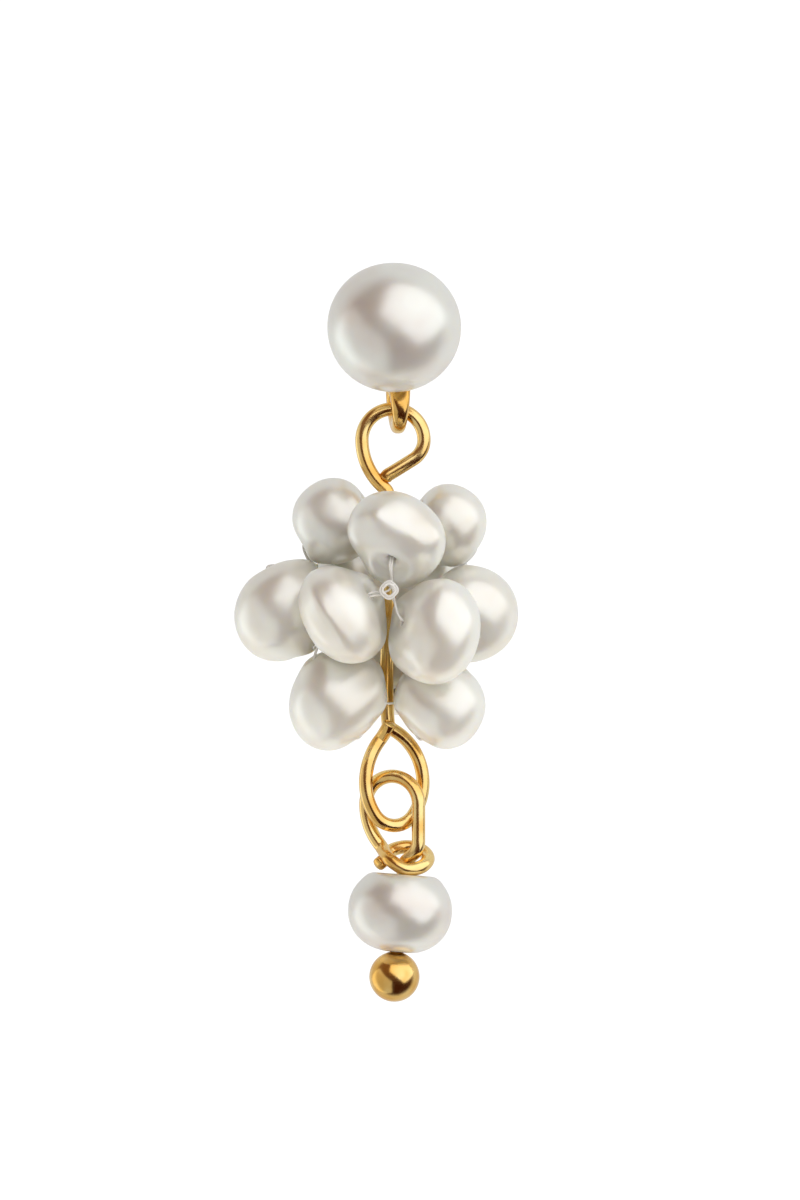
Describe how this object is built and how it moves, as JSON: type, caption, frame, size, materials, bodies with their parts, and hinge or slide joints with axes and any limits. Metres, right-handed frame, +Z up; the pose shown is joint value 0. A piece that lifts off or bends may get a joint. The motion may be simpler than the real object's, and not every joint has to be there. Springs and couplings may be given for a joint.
{
  "type": "pearl cluster drop earring",
  "caption": "Drop earring: a pearl stud with a soldered ring, a ball of tied freshwater pearls on a gold eye pin, and a small pearl tip hung from its lower eye.",
  "frame": {"origin": "on the ear post's axis, at the flat back of the cup, where it rests on the front of the ear lobe", "axes": "+Z up; -Y is the front that faces the viewer; +Y runs along the ear post to its tip; +X to the viewer's right"},
  "size_m": [0.0143, 0.018, 0.0369],
  "materials": {
    "gold": "polished gold plating on brass wire",
    "pearl": "lustrous white nacre with a soft pink and green overtone",
    "nylon": "clear white monofilament"
  },
  "bodies": {
    "stud": {"stud_finding": "gold", "stud_pearl": "pearl"},
    "drop": {"cluster_pin": "gold", "cluster_thread": "nylon", "pearl_top_front": "pearl", "pearl_top_left": "pearl", "pearl_top_right": "pearl", "pearl_side_left": "pearl", "pearl_front_left": "pearl", "pearl_front_right": "pearl", "pearl_side_right": "pearl", "pearl_back_right": "pearl", "pearl_back_left": "pearl", "pearl_low_left": "pearl", "pearl_low_right": "pearl", "pearl_low_back": "pearl"},
    "tip": {"tip_pin": "gold", "tip_pearl": "pearl"}
  },
  "joints": [
    {"name": "drop_swing", "type": "hinge", "parent": "stud", "child": "drop", "pos_m": [0.0002, -0.0012, -0.00486], "axis": [0, -1, 0], "range_deg": [-40, 40]},
    {"name": "tip_swing", "type": "hinge", "parent": "drop", "child": "tip", "pos_m": [0.00015, -0.0012, -0.0241], "axis": [0, -1, 0], "range_deg": [-20, 20]}
  ]
}
